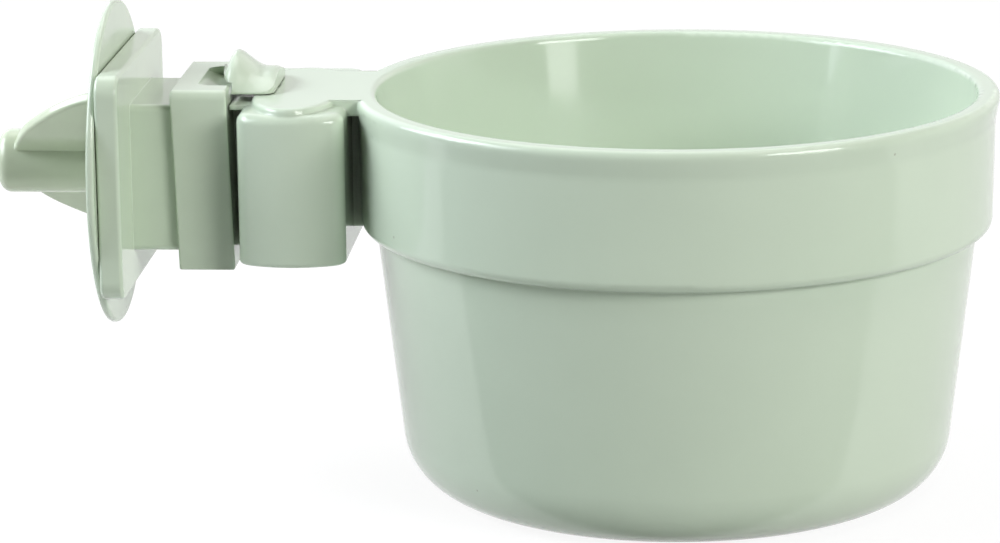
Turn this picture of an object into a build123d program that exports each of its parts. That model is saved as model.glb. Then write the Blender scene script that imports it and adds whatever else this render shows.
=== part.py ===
import os
from math import cos, radians, sin, tan

from build123d import *

os.makedirs("parts", exist_ok=True)

# Frame: origin at the centre of the cup's base, Z up, X from the clamp towards the cup. Millimetres.

# Cup
rim_radius = 50.0
cup_height = 63.2
rim_width = 3.3
bead_height = 1.4
bead_slope = 2.8
bead_proud = 0.55
band_height = 21.3
band_foot = cup_height - band_height
band_lean = 0.3
band_step = 2.3
wall_lean = 6.5
inner_lean = 9.5
floor_thickness = 3.0
base_corner = 9.75
floor_corner = 10.0
rim_outer_round = 1.0
rim_inner_round = 0.9
bead_round = 3.0
bead_blend = 4.0
inner_knee_round = 60.0
band_foot_round = 1.5

# Shared clearances
slide_gap = 0.3
rest_gap = 0.05
bolt_gap = 0.2

# Socket under the ear
socket_right = -rim_radius - 0.1
socket_length = 16.5
socket_left = socket_right - socket_length
socket_middle = (socket_left + socket_right) / 2
socket_half = 20.5
socket_front_radius = 15.0
socket_corner = 3.0
socket_top = cup_height - 1.0
socket_bottom = cup_height - 24.6
web_half = 5.4
mouth_wall = 2.5
socket_top_round = 1.5
socket_foot_round = 0.5
slot_round = 0.8

# Ear with its thumb pad
pad_left = socket_left + 1.5
pad_width = 13.0
pad_right = pad_left + pad_width
pad_middle = pad_left + pad_width / 2
pad_front = socket_half - 0.9
pad_back = socket_half - 5.5
pad_straight_front = 8.0
pad_straight_back = 6.0
ear_half = 12.0
ear_thickness = 2.5
web_drop = 1.5
pad_round = 0.6
ear_end = 2.1 - rim_radius

# Rail on the bracket
rail_top = cup_height - 2.6
rail_neck_half = 5.5
rail_head_half = 14.0
rail_head_left = socket_left + mouth_wall + slide_gap
rail_head_length = 8.4
rail_head_right = rail_head_left + rail_head_length
rail_head_round = 0.9
rail_rise = 0.2

# Clamp axis, leaning block, stem and plate
axis_height = (rail_top + socket_bottom) / 2 + 1.4
block_half = 13.0
block_top = cup_height + 1.45
block_bottom = axis_height - 14.45
block_lean = 1.75
block_length = 8.7
block_right_top = socket_left - 2.15
block_top_round = 1.4
block_edge_round = 0.35
ledge_left = block_right_top + 0.45
ledge_half = block_half - 1.5
ledge_thickness = 0.7
keeper_floor = cup_height - 0.2
keeper_left = block_right_top - 5.3
keeper_lip_half = 7.85
keeper_floor_half = 9.0
keeper_round = 2.5
stem_half = 11.6
stem_length = 6.45
stem_bottom = axis_height - 11.85
stem_top = axis_height + 11.2
stem_round = 1.0
plate_right = block_right_top - block_length - stem_length
plate_thickness = 3.55
plate_left = plate_right - plate_thickness
plate_half = 23.0
plate_bottom = axis_height - 17.4
plate_top = axis_height + 17.5
plate_corner = 3.0
plate_edge_round = 0.6

# Slide lock on the ear
lock_bottom = cup_height + 0.15
lock_left = block_right_top + 0.35
lock_length = 6.5
lock_right = lock_left + lock_length
lock_crest = 5.35
lock_half = 8.45
lock_land = 0.3
lock_corner = 2.0
lock_crest_left = lock_left - 0.32 * lock_length
lock_over_block = block_top + 0.3
lock_foot_half = 3.5
lock_foot_length = 8.0
lock_foot_bottom = rail_top + 0.2
lock_foot_top = lock_foot_bottom + 1.0
lock_neck_half = 2.0
lock_neck_left = pad_left + 0.1
lock_neck_right = lock_right - 0.3
groove_roof = lock_foot_top + 0.15

# Disc, bolt and wing nut
disc_radius = 25.4
disc_thickness = 1.2
disc_round = 0.5
disc_right = plate_left - rest_gap
disc_left = disc_right - disc_thickness
bolt_radius = 3.0
bolt_chamfer = 0.6
bolt_head_flats = 10.0
bolt_head_height = 4.0
bolt_head_right = rail_head_right - 0.2
bolt_head_left = bolt_head_right - bolt_head_height
hub_radius = 5.0
hub_length = 17.7
hub_end_round = 1.8
hub_right = disc_left - rest_gap
hub_left = hub_right - hub_length
bore_end = hub_left + 3.2
bolt_end = bore_end + 1.5
wing_tilt = 50.0
wing_thickness = 1.9
wing_reach = 21.0
wing_length = 15.0
wing_root = 4.0
wing_edge_round = 0.55

lean_slope = tan(radians(wall_lean))
band_top_radius = rim_radius - bead_proud
band_foot_radius = band_top_radius - band_lean
wall_radius = band_foot_radius - band_step
base_radius = wall_radius - band_foot * lean_slope
inner_rim_radius = rim_radius - rim_width
inner_knee_radius = inner_rim_radius - band_height * tan(radians(inner_lean))
inner_base_radius = inner_knee_radius - (band_foot - floor_thickness) * lean_slope
bead_foot = cup_height - bead_height
block_slope = tan(radians(block_lean))


def near(builder, across, up):
    return builder.vertices().sort_by_distance((across, up, 0))[0]


with BuildPart() as bowl:
    # Box-shaped socket with a bowed front
    with BuildSketch(Plane.XY.offset(socket_bottom)) as socket_plan:
        bow = socket_front_radius - (socket_front_radius**2 - (socket_length / 2) ** 2) ** 0.5
        with BuildLine():
            Polyline(
                (socket_left, bow - socket_half),
                (socket_left, socket_half),
                (socket_right, socket_half),
                (socket_right, bow - socket_half),
            )
            ThreePointArc(
                (socket_right, bow - socket_half),
                (socket_middle, -socket_half),
                (socket_left, bow - socket_half),
            )
        make_face()
        fillet(socket_plan.vertices(), socket_corner)
    extrude(amount=socket_top - socket_bottom)
    fillet(bowl.faces().sort_by(Axis.Z)[-1].edges(), socket_top_round)
    fillet(bowl.faces().sort_by(Axis.Z)[0].edges(), socket_foot_round)
    # Ear and thumb pad, level with the rim
    with BuildSketch(Plane.XY.offset(cup_height - ear_thickness)) as ear_plan:
        with Locations((pad_middle, (pad_straight_back - pad_straight_front) / 2)):
            Rectangle(pad_width, pad_straight_back + pad_straight_front)
        with Locations((pad_middle, -pad_straight_front)):
            Ellipse(pad_width / 2, pad_front - pad_straight_front)
        with Locations((pad_middle, pad_straight_back)):
            Ellipse(pad_width / 2, pad_back - pad_straight_back)
        with Locations(((pad_middle + ear_end) / 2, 0)):
            Rectangle(ear_end - pad_middle, 2 * ear_half)
    extrude(amount=ear_thickness)
    pad_rim = bowl.edges().filter_by_position(Axis.Z, cup_height - 0.01, cup_height + 0.01)
    fillet(pad_rim.filter_by_position(Axis.X, pad_left - 1, pad_right - 0.2), pad_round)
    # Thin ledge of the socket, reaching over the rail's neck
    with BuildSketch(Plane.XY.offset(socket_top - ledge_thickness)):
        with Locations(((ledge_left + socket_left) / 2 + 1, 0)):
            Rectangle(socket_left - ledge_left + 2, 2 * ledge_half)
    extrude(amount=ledge_thickness)
    # Web between the socket and the band
    with BuildSketch(Plane.XY.offset(band_foot)):
        with Locations(((socket_right + ear_end) / 2 - 1, 0)):
            Rectangle(ear_end - socket_right + 2, 2 * web_half)
    extrude(amount=cup_height - web_drop - band_foot)
    # Cup wall with rim bead, band, tapered foot and rounded base
    with BuildSketch(Plane.XZ) as cup_half:
        with BuildLine():
            Polyline(
                (0, 0),
                (base_radius, 0),
                (wall_radius, band_foot),
                (band_foot_radius, band_foot),
                (band_top_radius, bead_foot - bead_slope),
                (rim_radius, bead_foot),
                (rim_radius, cup_height),
                (inner_rim_radius, cup_height),
                (inner_knee_radius, band_foot),
                (inner_base_radius, floor_thickness),
                (0, floor_thickness),
                close=True,
            )
        make_face()
        fillet(near(cup_half, base_radius, 0), base_corner)
        fillet(near(cup_half, band_foot_radius, band_foot), band_foot_round)
        fillet(near(cup_half, band_top_radius, bead_foot - bead_slope), bead_blend)
        fillet(near(cup_half, rim_radius, bead_foot), bead_round)
        fillet(near(cup_half, rim_radius, cup_height), rim_outer_round)
        fillet(near(cup_half, inner_rim_radius, cup_height), rim_inner_round)
        fillet(near(cup_half, inner_knee_radius, band_foot), inner_knee_round)
        fillet(near(cup_half, inner_base_radius, floor_thickness), floor_corner)
    revolve(axis=Axis.Z)
    # Slot for the bracket's rail, open below, with its mouth towards the clamp
    cavity_left = socket_left + mouth_wall
    cavity_right = rail_head_right + slide_gap
    cavity_height = rail_top + rest_gap - socket_bottom
    with BuildSketch(Plane.XY.offset(socket_bottom)) as slot_plan:
        with Locations(((cavity_left + cavity_right) / 2, 0)):
            Rectangle(cavity_right - cavity_left, 2 * (rail_head_half + slide_gap))
        fillet(slot_plan.vertices(), slot_round)
        with Locations((socket_left + mouth_wall / 2, 0)):
            Rectangle(mouth_wall + 2, 2 * (rail_neck_half + slide_gap))
    extrude(amount=cavity_height, mode=Mode.SUBTRACT)
    # Groove for the foot of the lock, roofed by the ear, with a narrow slot for its neck
    groove_right = lock_neck_left + lock_foot_length + slide_gap
    with BuildSketch(Plane.XY.offset(rail_top)):
        with Locations(((ledge_left + groove_right) / 2 - 1, 0)):
            Rectangle(groove_right - ledge_left + 2, 2 * (lock_foot_half + slide_gap))
    extrude(amount=groove_roof - rail_top, mode=Mode.SUBTRACT)
    with BuildSketch(Plane.XY.offset(rail_top)):
        with Locations(((ledge_left + pad_left) / 2 - 1, 0)):
            Rectangle(pad_left - ledge_left + 2, 2 * (lock_foot_half + slide_gap))
        with Locations(((socket_left + lock_neck_right + bolt_gap) / 2, 0)):
            Rectangle(lock_neck_right + bolt_gap - socket_left, 2 * (lock_neck_half + bolt_gap))
    extrude(amount=cup_height + 1 - rail_top, mode=Mode.SUBTRACT)
bowl.part.label = "bowl"
export_step(bowl.part, "parts/bowl.step")


with BuildPart() as cage_bracket:
    # Leaning block with rounded top edges at its front and back
    shift = (block_top - block_bottom) * block_slope
    with BuildSketch(Plane.YZ.offset(block_right_top - block_length - 1)) as block_front:
        with Locations((0, (block_bottom + block_top) / 2)):
            Rectangle(2 * block_half, block_top - block_bottom)
        fillet(near(block_front, -block_half, block_top), block_top_round)
        fillet(near(block_front, block_half, block_top), block_top_round)
    extrude(amount=block_length + shift + 2)
    with BuildSketch(Plane.XZ.offset(-block_half - 1)):
        with BuildLine():
            Polyline(
                (block_right_top, block_top),
                (block_right_top + shift, block_bottom),
                (block_right_top + shift - block_length, block_bottom),
                (block_right_top - block_length, block_top),
                close=True,
            )
        make_face()
    extrude(amount=2 * block_half + 2, mode=Mode.INTERSECT)
    fillet(cage_bracket.faces().sort_by(Axis.X)[-1].edges(), block_edge_round)
    fillet(cage_bracket.faces().sort_by(Axis.X)[0].edges(), block_edge_round)
    # Keeper recess for the lock, wider at its floor than at its lip, with a rounded end
    lip_slope = (keeper_floor_half - keeper_lip_half) / (block_top - keeper_floor)
    lip_over = keeper_lip_half - lip_slope
    with BuildPart(mode=Mode.PRIVATE) as keeper:
        with BuildSketch(Plane.YZ.offset(keeper_left)):
            with BuildLine():
                Polyline(
                    (-keeper_floor_half, keeper_floor),
                    (keeper_floor_half, keeper_floor),
                    (lip_over, block_top + 1),
                    (-lip_over, block_top + 1),
                    close=True,
                )
            make_face()
        extrude(amount=block_right_top - keeper_left + 2)
        end_edges = keeper.faces().sort_by(Axis.X)[0].edges().sort_by(Axis.Z)[:-1]
        fillet(end_edges, keeper_round)
    add(keeper.part, mode=Mode.SUBTRACT)
    # Stem and plate
    with BuildSketch(Plane.YZ.offset(plate_left)) as plate_face:
        with Locations((0, (plate_bottom + plate_top) / 2)):
            RectangleRounded(2 * plate_half, plate_top - plate_bottom, plate_corner)
    extrude(amount=plate_thickness)
    plate_edges = cage_bracket.edges().filter_by_position(Axis.X, plate_left - 0.1, plate_right + 0.1)
    fillet(plate_edges, plate_edge_round)
    with BuildSketch(Plane.YZ.offset(plate_right - 1)) as stem_face:
        with Locations((0, (stem_bottom + stem_top) / 2)):
            RectangleRounded(2 * stem_half, stem_top - stem_bottom, stem_round)
    extrude(amount=block_right_top - plate_right - block_length / 2 + 1)
    # Rail: a neck and a wider head that hold the socket
    rail_bottom = socket_bottom + rail_rise
    neck_start = block_right_top - 2
    with BuildSketch(Plane.XY.offset(rail_bottom)):
        with Locations(((neck_start + rail_head_left) / 2 + 0.5, 0)):
            Rectangle(rail_head_left - neck_start + 1, 2 * rail_neck_half)
    extrude(amount=rail_top - rail_bottom)
    with BuildSketch(Plane.XY.offset(rail_bottom)) as head_plan:
        with Locations(((rail_head_left + rail_head_right) / 2, 0)):
            RectangleRounded(rail_head_length, 2 * rail_head_half, rail_head_round)
    extrude(amount=rail_top - rail_bottom)
    # Bolt hole and hex pocket
    with BuildSketch(Plane.YZ.offset(plate_left - 1)):
        with Locations((0, axis_height)):
            Circle(bolt_radius + bolt_gap)
    extrude(amount=rail_head_right - plate_left + 2, mode=Mode.SUBTRACT)
    with BuildSketch(Plane.YZ.offset(bolt_head_left)):
        with Locations((0, axis_height)):
            RegularPolygon((bolt_head_flats + bolt_gap) / 2, 6, major_radius=False)
    extrude(amount=bolt_head_height + 2, mode=Mode.SUBTRACT)
cage_bracket.part.label = "cage_bracket"
export_step(cage_bracket.part, "parts/cage_bracket.step")


# Crown of the lock from its clamp end to past its cup end: shares of its length and of its crest
lock_crown = [
    (-0.32, 0.57),
    (-0.13, 0.87),
    (0.03, 1.0),
    (0.18, 0.89),
    (0.35, 0.71),
    (0.53, 0.56),
    (0.72, 0.51),
    (0.9, 0.5),
    (1.1, 0.46),
]

with BuildPart() as slide_lock:
    for place, crown in lock_crown:
        with BuildSketch(Plane.YZ.offset(lock_left + place * lock_length)):
            with BuildLine():
                Polyline(
                    (-lock_half, lock_bottom + lock_land),
                    (-lock_half, lock_bottom),
                    (lock_half, lock_bottom),
                    (lock_half, lock_bottom + lock_land),
                )
                ThreePointArc(
                    (lock_half, lock_bottom + lock_land),
                    (0, lock_bottom + crown * lock_crest),
                    (-lock_half, lock_bottom + lock_land),
                )
            make_face()
    loft()
    # Plan outline: bowed thumb end, rounded corners at the cup end
    with BuildSketch(Plane.XY.offset(lock_bottom - 1)) as lock_plan:
        with BuildLine():
            Polyline(
                (lock_left - 0.1, -lock_half),
                (lock_right, -lock_half),
                (lock_right, lock_half),
                (lock_left - 0.1, lock_half),
            )
            ThreePointArc(
                (lock_left - 0.1, lock_half), (lock_crest_left, 0), (lock_left - 0.1, -lock_half)
            )
        make_face()
        fillet(near(lock_plan, lock_right, lock_half), lock_corner)
        fillet(near(lock_plan, lock_right, -lock_half), lock_corner)
    extrude(amount=lock_crest + 2, mode=Mode.INTERSECT)
    # Underside of the thumb end clears the block
    with BuildSketch(Plane.XZ.offset(-lock_half - 1)):
        with Locations((lock_left - lock_length / 2, (lock_over_block + lock_bottom) / 2 - 1)):
            Rectangle(lock_length, lock_over_block - lock_bottom + 2)
    extrude(amount=2 * lock_half + 2, mode=Mode.SUBTRACT)
    # Neck and foot
    with BuildSketch(Plane.XY.offset(lock_foot_bottom)):
        with Locations(((lock_neck_left + lock_neck_right) / 2, 0)):
            Rectangle(lock_neck_right - lock_neck_left, 2 * lock_neck_half)
    extrude(amount=lock_bottom + 0.5 - lock_foot_bottom)
    with BuildSketch(Plane.XY.offset(lock_foot_bottom)):
        with Locations((lock_neck_left + lock_foot_length / 2, 0)):
            Rectangle(lock_foot_length, 2 * lock_foot_half)
    extrude(amount=lock_foot_top - lock_foot_bottom)
slide_lock.part.label = "slide_lock"
export_step(slide_lock.part, "parts/slide_lock.step")


with BuildPart() as clamp_disc:
    with BuildSketch(Plane.YZ.offset(disc_left)):
        with Locations((0, axis_height)):
            Circle(disc_radius)
    extrude(amount=disc_thickness)
    fillet(clamp_disc.edges(), disc_round)
    with BuildSketch(Plane.YZ.offset(disc_left - 1)):
        with Locations((0, axis_height)):
            Circle(bolt_radius + slide_gap)
    extrude(amount=disc_thickness + 2, mode=Mode.SUBTRACT)
clamp_disc.part.label = "clamp_disc"
export_step(clamp_disc.part, "parts/clamp_disc.step")


with BuildPart() as clamp_bolt:
    with BuildSketch(Plane.YZ.offset(bolt_head_left)):
        with Locations((0, axis_height)):
            RegularPolygon(bolt_head_flats / 2, 6, major_radius=False)
    extrude(amount=bolt_head_height)
    with BuildSketch(Plane.YZ.offset(bolt_end)):
        with Locations((0, axis_height)):
            Circle(bolt_radius)
    extrude(amount=bolt_head_left - bolt_end)
    chamfer(clamp_bolt.faces().sort_by(Axis.X)[0].edges(), bolt_chamfer)
clamp_bolt.part.label = "clamp_bolt"
export_step(clamp_bolt.part, "parts/clamp_bolt.step")


# Outline of one wing: share of its length from the disc end, and share of its reach from the hub's axis
wing_outline = [(0.913, 0.381), (0.807, 0.519), (0.613, 0.686), (0.367, 0.852), (0.08, 0.981)]
wing_points = [(along * wing_length, out * wing_reach) for along, out in wing_outline]
wing_up = sin(radians(wing_tilt))
wing_out = cos(radians(wing_tilt))

with BuildPart() as wing_nut:
    with BuildSketch(Plane.YZ.offset(hub_left)):
        with Locations((0, axis_height)):
            Circle(hub_radius)
    extrude(amount=hub_length)
    fillet(wing_nut.faces().sort_by(Axis.X)[0].edges(), hub_end_round)
    for side in (1, -1):
        wing_plane = Plane(
            origin=(hub_right, 0, axis_height),
            x_dir=(-1, 0, 0),
            z_dir=(0, side * wing_out, side * wing_up),
        )
        with BuildPart(mode=Mode.PRIVATE) as wing:
            with BuildSketch(wing_plane):
                with BuildLine():
                    Spline((wing_length, wing_root), *wing_points, (0, wing_reach))
                    Polyline((0, wing_reach), (0, 0), (wing_length, 0), (wing_length, wing_root))
                make_face()
            extrude(amount=wing_thickness / 2, both=True)
            long_edges = wing.edges().filter_by(GeomType.BSPLINE)
            fillet(long_edges, wing_edge_round)
        add(wing.part)
    with BuildSketch(Plane.YZ.offset(bore_end)):
        with Locations((0, axis_height)):
            Circle(bolt_radius + slide_gap / 2)
    extrude(amount=hub_right - bore_end + 1, mode=Mode.SUBTRACT)
wing_nut.part.label = "wing_nut"
export_step(wing_nut.part, "parts/wing_nut.step")
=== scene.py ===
import math

import bmesh
import bpy
from mathutils import Matrix, Vector


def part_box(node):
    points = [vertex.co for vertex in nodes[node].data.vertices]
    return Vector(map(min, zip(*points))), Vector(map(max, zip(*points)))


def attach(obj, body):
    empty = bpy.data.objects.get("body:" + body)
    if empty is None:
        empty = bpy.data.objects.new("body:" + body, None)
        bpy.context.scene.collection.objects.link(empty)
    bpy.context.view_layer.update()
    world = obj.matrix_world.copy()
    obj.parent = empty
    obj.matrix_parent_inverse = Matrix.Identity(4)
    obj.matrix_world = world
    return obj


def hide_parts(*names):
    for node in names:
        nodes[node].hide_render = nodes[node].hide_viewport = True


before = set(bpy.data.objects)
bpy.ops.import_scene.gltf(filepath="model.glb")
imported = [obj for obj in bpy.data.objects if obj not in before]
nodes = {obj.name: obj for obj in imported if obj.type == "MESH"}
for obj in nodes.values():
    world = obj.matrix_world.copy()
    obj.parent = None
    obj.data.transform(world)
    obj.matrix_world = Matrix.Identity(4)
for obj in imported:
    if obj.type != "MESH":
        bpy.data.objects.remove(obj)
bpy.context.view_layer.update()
print("frame loaded:", ", ".join(sorted(nodes)))


# node helpers; a source is another socket or a fixed value
def feed(tree, source, target):
    if isinstance(source, bpy.types.NodeSocket):
        tree.links.new(source, target)
    else:
        target.default_value = source


def setInputs(node, values):
    for label, value in values.items():
        node.inputs[label].default_value = value


def addNode(tree, kind, place, **settings):
    node = tree.nodes.new(kind)
    node.location = place
    for key, value in settings.items():
        setattr(node, key, value)
    return node


def addMath(tree, place, operation, *terms):
    node = addNode(tree, "ShaderNodeMath", place, operation=operation)
    for term, socket in zip(terms, node.inputs):
        feed(tree, term, socket)
    return node.outputs["Value"]


def addSpread(tree, place, source, limits, **settings):
    node = addNode(tree, "ShaderNodeMapRange", place, **settings)
    for label, limit in limits.items():
        feed(tree, limit, node.inputs[label])
    feed(tree, source, node.inputs["Value"])
    return node.outputs["Result"]


def addNoise(tree, place, vector, scale, values):
    node = addNode(tree, "ShaderNodeTexNoise", place)
    setInputs(node, values)
    feed(tree, vector, node.inputs["Vector"])
    feed(tree, scale, node.inputs["Scale"])
    return node.outputs["Fac"]


def addMix(tree, place, factor, first, second, **settings):
    node = addNode(tree, "ShaderNodeMix", place, data_type="RGBA", **settings)
    for label, source in (("Factor", factor), ("A", first), ("B", second)):
        feed(tree, source, node.inputs[label])
    return node.outputs["Result"]


def addShaderMix(tree, place, factor, first, second):
    node = addNode(tree, "ShaderNodeMixShader", place)
    for source, socket in zip((factor, first, second), node.inputs):
        feed(tree, source, socket)
    return node.outputs["Shader"]


def startGroup(name, inputs, outputs):
    group = bpy.data.node_groups.new(name, "ShaderNodeTree")
    for label, value in inputs.items():
        socket = group.interface.new_socket(name=label, in_out="INPUT", socket_type="NodeSocketFloat")
        socket.default_value = value
    for label, kind in outputs.items():
        group.interface.new_socket(name=label, in_out="OUTPUT", socket_type=kind)
    start = addNode(group, "NodeGroupInput", (-900, 0))
    end = addNode(group, "NodeGroupOutput", (700, 0))
    return group, start.outputs, end.inputs


def startMaterial(name):
    material = bpy.data.materials.new(name)
    material.use_nodes = True
    tree = material.node_tree
    return material, tree, tree.nodes["Principled BSDF"]


# slow drift of pigment and gloss over a moulding, with a few dark specks
driftLook = {
    "inputs": {
        "Drift Scale": 22.0,
        "Speck Scale": 240.0,
        "Speck Size": 0.05,
        "Gloss Low": 0.2,
        "Gloss High": 0.3,
    },
    "detail": 3.0,
    "roughness": 0.55,
    "low": 0.3,
    "high": 0.7,
    "cleanShare": 0.97,  # cells of the speck pattern that stay empty
    "glossScale": 75.0,
    "glossDetail": 4.0,
    "glossFrom": 0.35,
    "glossTo": 0.65,
}


def makeMouldedDrift(look):
    outputs = {"Drift": "NodeSocketFloat", "Specks": "NodeSocketFloat", "Roughness": "NodeSocketFloat"}
    group, start, end = startGroup("mouldedDrift", look["inputs"], outputs)
    place = addNode(group, "ShaderNodeTexCoord", (-900, 300)).outputs["Object"]
    values = {"Detail": look["detail"], "Roughness": look["roughness"]}
    drift = addNoise(group, (-600, 300), place, start["Drift Scale"], values)
    limits = {"From Min": look["low"], "From Max": look["high"]}
    feed(group, addSpread(group, (-300, 300), drift, limits), end["Drift"])

    cells = addNode(group, "ShaderNodeTexVoronoi", (-600, 0))
    feed(group, place, cells.inputs["Vector"])
    feed(group, start["Speck Scale"], cells.inputs["Scale"])
    inside = addMath(group, (-300, 0), "LESS_THAN", cells.outputs["Distance"], start["Speck Size"])
    pick = addNode(group, "ShaderNodeSeparateColor", (-300, -180))
    feed(group, cells.outputs["Color"], pick.inputs["Color"])
    few = addMath(group, (-100, -180), "GREATER_THAN", pick.outputs["Red"], look["cleanShare"])
    feed(group, addMath(group, (100, 0), "MULTIPLY", inside, few), end["Specks"])

    gloss = addNoise(group, (-600, -400), place, look["glossScale"], {"Detail": look["glossDetail"]})
    limits = {
        "From Min": look["glossFrom"],
        "From Max": look["glossTo"],
        "To Min": start["Gloss Low"],
        "To Max": start["Gloss High"],
    }
    feed(group, addSpread(group, (-100, -400), gloss, limits), end["Roughness"])
    return group


# faint waves and grain that a mould leaves in a glossy wall
skinLook = {
    "inputs": {"Wave Scale": 60.0, "Grain Scale": 1500.0, "Grain Share": 0.15},
    "waveDetail": 1.0,
    "grainDetail": 2.0,
}


def makeMouldSkin(look):
    group, start, end = startGroup("mouldSkin", look["inputs"], {"Height": "NodeSocketFloat"})
    place = addNode(group, "ShaderNodeTexCoord", (-900, 300)).outputs["Object"]
    wave = addNoise(group, (-600, 200), place, start["Wave Scale"], {"Detail": look["waveDetail"]})
    grain = addNoise(group, (-600, -100), place, start["Grain Scale"], {"Detail": look["grainDetail"]})
    share = addMath(group, (-300, -100), "MULTIPLY", grain, start["Grain Share"])
    feed(group, addMath(group, (0, 100), "ADD", wave, share), end["Height"])
    return group


# painted shade that darkens the colour in narrow gaps where little sky is open, and edges that the
# mould leaves slightly round
paintedGapLook = {
    "inputs": {"Reach": 0.006, "Depth": 0.6, "Edge": 0.0003},
    "gapSamples": 8,
    "closed": 0.04,  # share of open sky in a full gap
    "open": 0.32,  # share at which the shade has gone
    "edgeSamples": 8,
}


def makePaintedGapShade(look):
    outputs = {"Shade": "NodeSocketFloat", "Normal": "NodeSocketVector"}
    group, start, end = startGroup("paintedGapShade", look["inputs"], outputs)
    # painted shade: the less open sky the ambient occlusion finds nearby, the darker the colour
    sky = addNode(group, "ShaderNodeAmbientOcclusion", (-600, 200), samples=look["gapSamples"])
    feed(group, start["Reach"], sky.inputs["Distance"])
    limits = {"From Min": look["closed"], "From Max": look["open"], "To Min": 1.0, "To Max": 0.0}
    paintedShade = addSpread(group, (-300, 200), sky.outputs["AO"], limits, interpolation_type="SMOOTHSTEP")
    feed(group, addMath(group, (0, 200), "MULTIPLY", paintedShade, start["Depth"]), end["Shade"])
    edge = addNode(group, "ShaderNodeBevel", (-300, -200), samples=look["edgeSamples"])
    feed(group, start["Edge"], edge.inputs["Radius"])
    feed(group, edge.outputs["Normal"], end["Normal"])
    return group


mouldedDrift = makeMouldedDrift(driftLook)
mouldSkin = makeMouldSkin(skinLook)
paintedGapShade = makePaintedGapShade(paintedGapLook)
print("surface groups made")


# sage green plastic from polished moulds
sagePlastic = {
    "ior": 1.49,
    "speck": (0.42, 0.47, 0.36, 1),
    # colour of the painted shade in narrow gaps; the depth says how far towards it the colour goes
    "paintedShade": (0.17, 0.19, 0.12, 1),
    "paintedShadeDepth": 0.8,
    "waveScale": 60.0,
    "waveHeight": 0.00002,
    "waveStrength": 0.5,
}
# the cup with its ear and socket is one moulding
cupFinish = {
    **sagePlastic,
    "name": "cupPlastic",
    "deep": (0.56, 0.66, 0.525, 1),
    "pale": (0.595, 0.695, 0.555, 1),
    "driftScale": 20.0,
    "glossLow": 0.08,
    "glossHigh": 0.13,
    "paintedShadeReach": 0.004,
    "edge": 0.0008,
}
# the clamp's pieces are a little less glossy
clampFinish = {
    **sagePlastic,
    "name": "clampPlastic",
    "deep": (0.555, 0.65, 0.51, 1),
    "pale": (0.595, 0.69, 0.545, 1),
    "driftScale": 45.0,
    "glossLow": 0.1,
    "glossHigh": 0.16,
    "paintedShadeReach": 0.0035,
    "edge": 0.0003,
}
# the wing nut is tinted a shade warmer than the rest of the clamp, as painted warm light that its
# wings catch
nutWarmLightFinish = {
    **clampFinish,
    "name": "nutWarmLightPlastic",
    "deep": (0.565, 0.645, 0.47, 1),
    "pale": (0.605, 0.685, 0.505, 1),
}


# base colour that drifts between the two ends of a finish
def addDrift(tree, finish):
    drift = addNode(tree, "ShaderNodeGroup", (-900, 200), node_tree=mouldedDrift)
    setInputs(drift, {
        "Drift Scale": finish["driftScale"],
        "Gloss Low": finish["glossLow"],
        "Gloss High": finish["glossHigh"],
    })
    colour = addMix(tree, (-600, 300), drift.outputs["Drift"], finish["deep"], finish["pale"])
    return drift.outputs, colour


def addSkin(tree, finish):
    skin = addNode(tree, "ShaderNodeGroup", (-900, -200), node_tree=mouldSkin)
    skin.inputs["Wave Scale"].default_value = finish["waveScale"]
    bump = addNode(tree, "ShaderNodeBump", (-400, -200))
    setInputs(bump, {"Distance": finish["waveHeight"], "Strength": finish["waveStrength"]})
    feed(tree, skin.outputs["Height"], bump.inputs["Height"])
    return bump


def makePlastic(finish):
    material, tree, shader = startMaterial(finish["name"])
    shader.inputs["IOR"].default_value = finish["ior"]
    drift, colour = addDrift(tree, finish)
    paintedShade = addNode(tree, "ShaderNodeGroup", (-900, -450), node_tree=paintedGapShade)
    setInputs(paintedShade, {"Reach": finish["paintedShadeReach"], "Depth": finish["paintedShadeDepth"], "Edge": finish["edge"]})
    specked = addMix(tree, (-400, 300), drift["Specks"], colour, finish["speck"])
    # painted shade: the colour is pulled towards the gap-shade colour where little sky is open
    shaded = addMix(tree, (-200, 300), paintedShade.outputs["Shade"], specked, finish["paintedShade"])
    bump = addSkin(tree, finish)
    feed(tree, paintedShade.outputs["Normal"], bump.inputs["Normal"])
    feed(tree, shaded, shader.inputs["Base Color"])
    feed(tree, drift["Roughness"], shader.inputs["Roughness"])
    feed(tree, bump.outputs["Normal"], shader.inputs["Normal"])
    return material


# zinc plated steel of the bolt
boltFinish = {
    "name": "platedSteel",
    "metallic": 1.0,
    "deep": (0.5, 0.5, 0.48, 1),
    "pale": (0.68, 0.68, 0.66, 1),
    "driftScale": 160.0,
    "glossLow": 0.25,
    "glossHigh": 0.42,
    "waveScale": 300.0,
    "waveHeight": 0.00004,
    "waveStrength": 1.0,
}


def makePlatedSteel(finish):
    material, tree, shader = startMaterial(finish["name"])
    shader.inputs["Metallic"].default_value = finish["metallic"]
    drift, colour = addDrift(tree, finish)
    feed(tree, colour, shader.inputs["Base Color"])
    feed(tree, drift["Roughness"], shader.inputs["Roughness"])
    feed(tree, addSkin(tree, finish).outputs["Normal"], shader.inputs["Normal"])
    return material


cupPlastic = makePlastic(cupFinish)
clampPlastic = makePlastic(clampFinish)
nutWarmLightPlastic = makePlastic(nutWarmLightFinish)
platedSteel = makePlatedSteel(boltFinish)
nodeFinish = {
    "bowl": cupPlastic,
    "cage_bracket": clampPlastic,
    "slide_lock": clampPlastic,
    "clamp_disc": clampPlastic,
    "wing_nut": nutWarmLightPlastic,
    "clamp_bolt": platedSteel,
}


def dress(piece, material):
    piece.data.materials.clear()
    piece.data.materials.append(material)


for nodeName, material in nodeFinish.items():
    dress(nodes[nodeName], material)
print("materials on:", ", ".join(nodeFinish))


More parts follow.
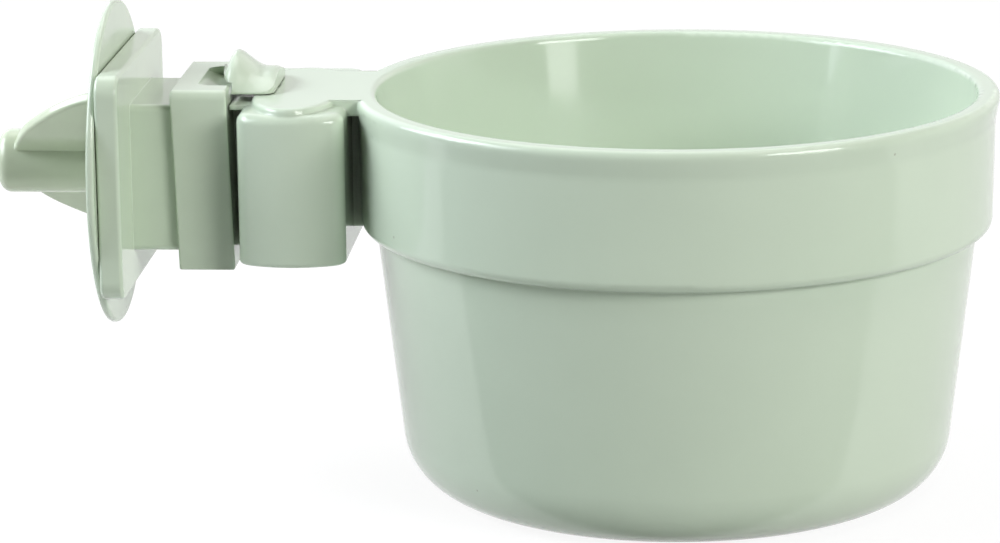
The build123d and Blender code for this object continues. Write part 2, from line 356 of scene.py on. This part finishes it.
# bolt in place of its plain solid: rolled thread, plain shank and a hex head with turned corners
boltShape = {
    "radius": 0.003,
    "pitch": 0.001,
    "threadDepth": 0.00058,
    "crestFrom": 0.38,  # flat crest of the thread, as shares of the pitch
    "crestTo": 0.62,
    "leadIn": 1.5,  # turns that lie before the tip and are pressed flat there
    "spareTurns": 2,
    "tipRadius": 0.0023,
    "shankLength": 0.009,
    "steps": 48,
    "headHeight": 0.004,
    "headFlats": 0.01,
    "faceRadius": 0.00475,
    "chamfer": 30,
    "dishRadius": 0.0034,
    "dishFloor": 0.7,  # share of the dish that is flat
    "dishDepth": 0.0003,
    "weld": 0.0000005,
    "sharpFrom": 32,
}


# an outline gives the reach from the axis at an angle, and the shift back along it
def roundOutline(radius):
    return lambda angle: (radius, 0.0)


def hexOutline(shape, chamfer):
    flat = shape["headFlats"] / 2

    def outline(angle):
        reach = flat / math.cos((angle % (math.pi / 3)) - math.pi / 6)
        return reach, (reach - shape["faceRadius"]) * math.tan(math.radians(chamfer))

    return outline


def addRing(work, middle, along, count, outline):
    ring = []
    for step in range(count):
        angle = 2 * math.pi * step / count
        reach, shift = outline(angle)
        offset = Vector((along - shift, reach * math.cos(angle), reach * math.sin(angle)))
        ring.append(work.verts.new(Vector((0, middle.y, middle.z)) + offset))
    return ring


def joinRings(work, first, second):
    count = len(first)
    for step in range(count):
        after = (step + 1) % count
        work.faces.new((first[step], first[after], second[after], second[step]))


# each strip runs from the root over the crest, and the next turn's root closes it
def addThread(work, shape, middle, tipEnd, threadEnd):
    crest = shape["radius"]
    root = crest - shape["threadDepth"]
    profile = ((0.0, root), (shape["crestFrom"], crest), (shape["crestTo"], crest))
    pitch = shape["pitch"]
    steps = shape["steps"]
    turns = math.ceil((threadEnd - tipEnd) / pitch) + shape["spareTurns"]
    strips = []
    for step in range(turns * steps + 1):
        angle = 2 * math.pi * step / steps
        strip = []
        for share, reach in profile:
            along = tipEnd + pitch * (step / steps + share - shape["leadIn"])
            along = min(max(along, tipEnd), threadEnd)
            reach = min(reach, shape["tipRadius"] + along - tipEnd)
            reach = max(reach, crest - (threadEnd - along))
            across = middle.y + reach * math.cos(angle)
            up = middle.z + reach * math.sin(angle)
            strip.append(work.verts.new((along, across, up)))
        strips.append(strip)
    nextRoots = [strip[:1] for strip in strips[steps:]] + [[]] * steps
    closed = [strip + nextRoot for strip, nextRoot in zip(strips, nextRoots)]
    for here, there in zip(closed, closed[1:]):
        for part in range(min(len(here), len(there)) - 1):
            work.faces.new((here[part], here[part + 1], there[part + 1], there[part]))


def addHead(work, shape, middle, headEnd, shankEnd):
    steps = shape["steps"]
    headStart = headEnd - shape["headHeight"]
    dishRadius = shape["dishRadius"]
    rings = [shankEnd]
    for along, outline in (
        (headStart, hexOutline(shape, 0)),
        (headEnd, hexOutline(shape, shape["chamfer"])),
        (headEnd, roundOutline(shape["faceRadius"])),
        (headEnd, roundOutline(dishRadius)),
        (headEnd - shape["dishDepth"], roundOutline(shape["dishFloor"] * dishRadius)),
    ):
        rings.append(addRing(work, middle, along, steps, outline))
    for first, second in zip(rings, rings[1:]):
        joinRings(work, first, second)
    work.faces.new(rings[-1])


def makeBolt(shape):
    low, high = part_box("clamp_bolt")
    middle = (low + high) / 2
    steps = shape["steps"]
    headStart = high.x - shape["headHeight"]
    threadEnd = headStart - shape["shankLength"]
    work = bmesh.new()
    addThread(work, shape, middle, low.x, threadEnd)
    tip = addRing(work, middle, low.x, steps, roundOutline(shape["tipRadius"]))
    work.faces.new(list(reversed(tip)))
    shankOutline = roundOutline(shape["radius"])
    shankEnd = addRing(work, middle, headStart, steps, shankOutline)
    joinRings(work, addRing(work, middle, threadEnd, steps, shankOutline), shankEnd)
    addHead(work, shape, middle, high.x, shankEnd)
    bmesh.ops.remove_doubles(work, verts=work.verts, dist=shape["weld"])
    bmesh.ops.dissolve_degenerate(work, edges=work.edges, dist=shape["weld"])
    bmesh.ops.recalc_face_normals(work, faces=work.faces)
    mesh = bpy.data.meshes.new("threadedBolt")
    work.to_mesh(mesh)
    work.free()
    mesh.shade_smooth()
    mesh.set_sharp_from_angle(angle=math.radians(shape["sharpFrom"]))
    mesh.materials.append(platedSteel)
    bolt = bpy.data.objects.new("threadedBolt", mesh)
    bpy.context.scene.collection.objects.link(bolt)
    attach(bolt, "bracket")
    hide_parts("clamp_bolt")
    return bolt


threadedBolt = makeBolt(boltShape)
print("bolt faces:", len(threadedBolt.data.polygons))


# rays that show the stage itself: straight from the camera, in a reflection or through something clear
def addLookedAt(tree, across, up):
    path = addNode(tree, "ShaderNodeLightPath", (across, up)).outputs
    mirror = addMath(
        tree, (across + 200, up - 100), "MAXIMUM", path["Is Glossy Ray"], path["Is Transmission Ray"]
    )
    return path["Is Camera Ray"], mirror


def addAxes(tree, across, up, kind):
    place = addNode(tree, "ShaderNodeTexCoord", (across, up))
    split = addNode(tree, "ShaderNodeSeparateXYZ", (across + 200, up))
    feed(tree, place.outputs[kind], split.inputs["Vector"])
    return split.outputs


# white paper sweep: the cup stands near the front edge of its lit part, and the paper on the
# camera's side of that edge is dark in reflections and gives a little less bounce
paperSweep = {
    "half": 3.0,
    "pale": (0.56, 0.56, 0.555, 1),
    "grey": (0.54, 0.54, 0.535, 1),
    "fibreScale": 9.0,
    "roughness": 0.9,
    "shine": 0.0,
    "shadowShare": 0.2,  # share of the paper's own light and shade that the camera sees
    "glow": 1.14,
    "mirrorBack": 1.0,
    "mirrorFront": 0.05,
    "frontBounce": 0.85,
    "edgeFrom": -0.04,
    "edgeTo": -0.037,
    "edgeTurn": 0.03,
}


def makeWhitePaper(sweep):
    material, tree, shader = startMaterial("whitePaper")
    setInputs(shader, {"Roughness": sweep["roughness"], "Specular IOR Level": sweep["shine"]})
    camera, mirror = addLookedAt(tree, -900, 700)
    axes = addAxes(tree, -900, -300, "Object")
    slant = addMath(tree, (-600, -500), "MULTIPLY_ADD", axes["X"], sweep["edgeTurn"], axes["Y"])
    limits = {"From Min": sweep["edgeFrom"], "From Max": sweep["edgeTo"]}
    lit = addSpread(tree, (-450, -300), slant, limits, interpolation_type="SMOOTHSTEP")

    # colour: full for the camera, a little darker in front for the light that bounces
    fibres = addNode(tree, "ShaderNodeTexNoise", (-700, 200))
    fibres.inputs["Scale"].default_value = sweep["fibreScale"]
    shade = addMix(tree, (-400, 200), fibres.outputs["Fac"], sweep["pale"], sweep["grey"])
    bounce = addSpread(tree, (-250, -600), lit, {"To Min": sweep["frontBounce"]})
    plain = addMath(tree, (-50, -600), "MAXIMUM", bounce, camera)
    paled = addMix(tree, (-200, 200), 1.0, shade, plain, blend_type="MULTIPLY")
    feed(tree, paled, shader.inputs["Base Color"])

    # white for the camera, and its own level in reflections
    white = addNode(tree, "ShaderNodeEmission", (0, -100))
    white.inputs["Strength"].default_value = sweep["glow"]
    mirrored = addNode(tree, "ShaderNodeEmission", (0, -300))
    levels = {"To Min": sweep["mirrorFront"], "To Max": sweep["mirrorBack"]}
    feed(tree, addSpread(tree, (-250, -300), lit, levels), mirrored.inputs["Strength"])
    lift = addMath(tree, (0, 500), "MULTIPLY", camera, 1.0 - sweep["shadowShare"])
    seen = addShaderMix(tree, (300, 0), lift, shader.outputs["BSDF"], white.outputs["Emission"])
    both = addShaderMix(tree, (500, 0), mirror, seen, mirrored.outputs["Emission"])
    feed(tree, both, tree.nodes["Material Output"].inputs["Surface"])
    return material


def makePaperSweep(sweep):
    half = sweep["half"]
    corners = [(-half, -half, 0), (half, -half, 0), (half, half, 0), (-half, half, 0)]
    mesh = bpy.data.meshes.new("paperSweep")
    mesh.from_pydata(corners, [], [(0, 1, 2, 3)])
    mesh.materials.append(makeWhitePaper(sweep))
    paper = bpy.data.objects.new("paperSweep", mesh)
    bpy.context.scene.collection.objects.link(paper)


makePaperSweep(paperSweep)


# studio room: pale behind the object, darker on the camera's side, white where the camera sees it
room = {
    "colour": (1, 1, 1, 1),
    "seen": 1.0,
    "fillFront": 0.02,
    "fillBack": 0.04,
    "mirrorFront": 0.03,
    "mirrorBack": 1.0,
    "edgeFrom": -0.1,
    "edgeTo": 0.1,
}


def makeRoom(settings):
    world = bpy.data.worlds.new("studioRoom")
    bpy.context.scene.world = world
    world.use_nodes = True
    tree = world.node_tree
    camera, mirror = addLookedAt(tree, -900, 500)
    axes = addAxes(tree, -900, -100, "Generated")
    sides = []
    for up, front, back in ((0, "fillFront", "fillBack"), (-250, "mirrorFront", "mirrorBack")):
        limits = {
            "From Min": settings["edgeFrom"],
            "From Max": settings["edgeTo"],
            "To Min": settings[front],
            "To Max": settings[back],
        }
        level = addSpread(tree, (-500, up), axes["Y"], limits, interpolation_type="SMOOTHSTEP")
        side = addNode(tree, "ShaderNodeBackground", (-250, up))
        side.inputs["Color"].default_value = settings["colour"]
        feed(tree, level, side.inputs["Strength"])
        sides.append(side.outputs["Background"])
    white = tree.nodes["Background"]
    setInputs(white, {"Color": settings["colour"], "Strength": settings["seen"]})
    lit = addShaderMix(tree, (0, 0), mirror, *sides)
    both = addShaderMix(tree, (250, 0), camera, lit, white.outputs["Background"])
    feed(tree, both, tree.nodes["World Output"].inputs["Surface"])


makeRoom(room)

# softboxes around the table: turn from the camera's side and rise in degrees, size in metres
coolTint = (0.96, 1, 1.08)
plainTint = (1, 1, 1)
warmTint = (1.04, 1, 0.92)
softboxes = {
    "leftSideBox": {"turn": -97, "rise": 32, "size": (0.5, 0.5), "power": 5.8, "tint": coolTint},
    "leftHighBox": {"turn": -72, "rise": 30, "size": (0.4, 0.4), "power": 3.3, "tint": coolTint},
    "leftLowBox": {"turn": -66, "rise": 7, "size": (0.1, 0.1), "power": 0.12, "tint": coolTint},
    "rightHighBox": {"turn": 48, "rise": 23, "size": (0.4, 0.3), "power": 5.2, "tint": plainTint},
    "rightLowBox": {"turn": 50, "rise": 7, "size": (0.2, 0.14), "power": 0.4, "tint": plainTint},
    "topRightBox": {"turn": 60, "rise": 62, "size": (0.4, 0.4), "power": 1.4, "tint": warmTint},
    "backLeftBox": {"turn": -140, "rise": 28, "size": (0.8, 0.6), "power": 1.2, "tint": coolTint},
    "backRightBox": {"turn": 145, "rise": 28, "size": (0.8, 0.6), "power": 0.9, "tint": plainTint},
    "backTopBox": {"turn": 180, "rise": 60, "size": (0.6, 0.4), "power": 1.4, "tint": plainTint},
}
softboxAim = Vector((-0.01, 0.0, 0.045))
softboxDistance = 0.9


def addSoftbox(name, box):
    turn = math.radians(box["turn"])
    rise = math.radians(box["rise"])
    across = math.sin(turn) * math.cos(rise)
    behind = -math.cos(turn) * math.cos(rise)
    outward = Vector((across, behind, math.sin(rise)))
    lamp = bpy.data.lights.new(name, "AREA")
    lamp.shape = "RECTANGLE"
    lamp.size, lamp.size_y = box["size"]
    lamp.energy = box["power"]
    lamp.color = box["tint"]
    holder = bpy.data.objects.new(name, lamp)
    holder.location = softboxAim + softboxDistance * outward
    holder.rotation_euler = outward.to_track_quat("Z", "Y").to_euler()
    bpy.context.scene.collection.objects.link(holder)


for boxName, box in softboxes.items():
    addSoftbox(boxName, box)
print("paper, room and softboxes made")


# long lens from the front, a little right of the cup and above its rim
photoCamera = {
    "at": (0.02212, -0.64292, 0.18943),
    "right": (0.99716, 0.07453, -0.01157),
    "forward": (-0.07515, 0.96904, -0.23518),
    "lens": 151.71,
    "sensor": 36.0,
    "nearest": 0.01,
    "farthest": 20.0,
}


def makeCamera(settings):
    data = bpy.data.cameras.new("photoCamera")
    data.lens = settings["lens"]
    data.sensor_width = settings["sensor"]
    data.sensor_fit = "HORIZONTAL"
    data.clip_start = settings["nearest"]
    data.clip_end = settings["farthest"]
    back = -Vector(settings["forward"]).normalized()
    right = Vector(settings["right"])
    right = (right - right.dot(back) * back).normalized()
    up = back.cross(right)
    turn = Matrix((right, up, back)).transposed().to_4x4()
    camera = bpy.data.objects.new("photoCamera", data)
    camera.matrix_world = Matrix.Translation(settings["at"]) @ turn
    bpy.context.scene.collection.objects.link(camera)
    bpy.context.scene.camera = camera


makeCamera(photoCamera)
bpy.context.scene.view_settings.view_transform = "Standard"
print("camera set")
